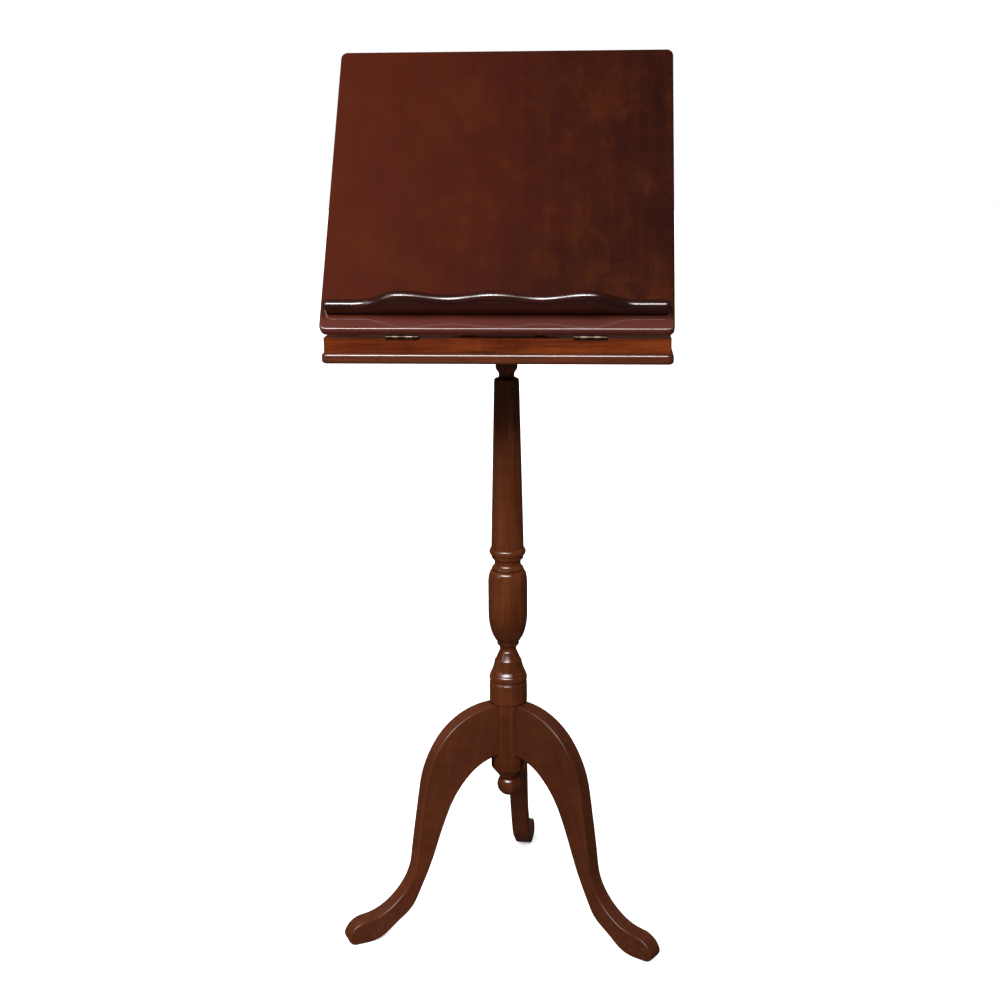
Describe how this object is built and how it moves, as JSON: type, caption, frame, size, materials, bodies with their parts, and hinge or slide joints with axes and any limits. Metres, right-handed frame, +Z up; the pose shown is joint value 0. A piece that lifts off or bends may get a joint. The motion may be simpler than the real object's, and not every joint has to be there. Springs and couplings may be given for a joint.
{
  "type": "bible stand",
  "caption": "Floor-standing book or Bible stand: a tilting desk with a scalloped ledge, hinged to a shallow box, on a turned column with tripod legs.",
  "frame": {"origin": "where the column's axis meets the floor that the three feet stand on", "axes": "+Z up along the column, -Y towards the reader, +X to the reader's right"},
  "size_m": [0.4164, 0.4388, 1.1376],
  "materials": {
    "mahogany_panel": "satin",
    "mahogany_box": "satin",
    "mahogany_turned": "gloss",
    "mahogany_leg": "satin",
    "brass": "satin",
    "steel": "satin"
  },
  "bodies": {
    "stand": {"column_shaft": "mahogany_turned", "leg_hub": "mahogany_turned", "hub_hanger_bolt": "steel", "ball_finial": "mahogany_turned", "left_leg": "mahogany_leg", "right_leg": "mahogany_leg", "back_leg": "mahogany_leg"},
    "spindle": {"height_spindle": "mahogany_turned", "pivot_bolt": "steel", "pivot_washer": "steel"},
    "box": {"base_board": "mahogany_box", "riser_front_rail": "mahogany_box", "riser_back_rail": "mahogany_box", "riser_left_rail": "mahogany_box", "riser_right_rail": "mahogany_box", "riser_screws": "steel", "mounting_block": "mahogany_box", "mounting_block_screws": "steel", "prop_rack_left": "mahogany_box", "prop_rack_right": "mahogany_box", "left_hinge_base_leaf": "brass", "right_hinge_base_leaf": "brass", "left_hinge_pin": "brass", "right_hinge_pin": "brass", "base_hinge_screws": "brass"},
    "desk": {"desk_panel": "mahogany_panel", "book_ledge": "mahogany_panel", "ledge_screws": "steel", "left_hinge_desk_leaf": "brass", "right_hinge_desk_leaf": "brass", "desk_hinge_screws": "brass", "prop_hinge_desk_leaf": "brass", "prop_hinge_pin": "brass", "prop_hinge_desk_screws": "brass"},
    "prop": {"prop_strut": "mahogany_panel", "prop_hinge_strut_leaf": "brass", "prop_hinge_strut_screws": "brass"}
  },
  "joints": [
    {"name": "spindle_rise", "type": "slide", "parent": "stand", "child": "spindle", "axis": [0, 0, 1], "range_m": [0, 0.2]},
    {"name": "box_turn", "type": "hinge", "parent": "spindle", "child": "box", "pos_m": [0, 0, 0.767], "axis": [0, 0, 1], "continuous": true},
    {"name": "desk_tilt", "type": "hinge", "parent": "box", "child": "desk", "pos_m": [0, -0.175, 0.8134], "axis": [1, 0, 0], "range_deg": [-56.3, 13.7]},
    {"name": "prop_fold", "type": "hinge", "parent": "desk", "child": "prop", "pos_m": [0, -0.08456, 0.94901], "axis": [1, 0, 0], "range_deg": [-27.4, 112.6]}
  ],
  "couplings": [
    {"joint": "prop_fold", "follows": "desk_tilt", "ratio": -2}
  ]
}
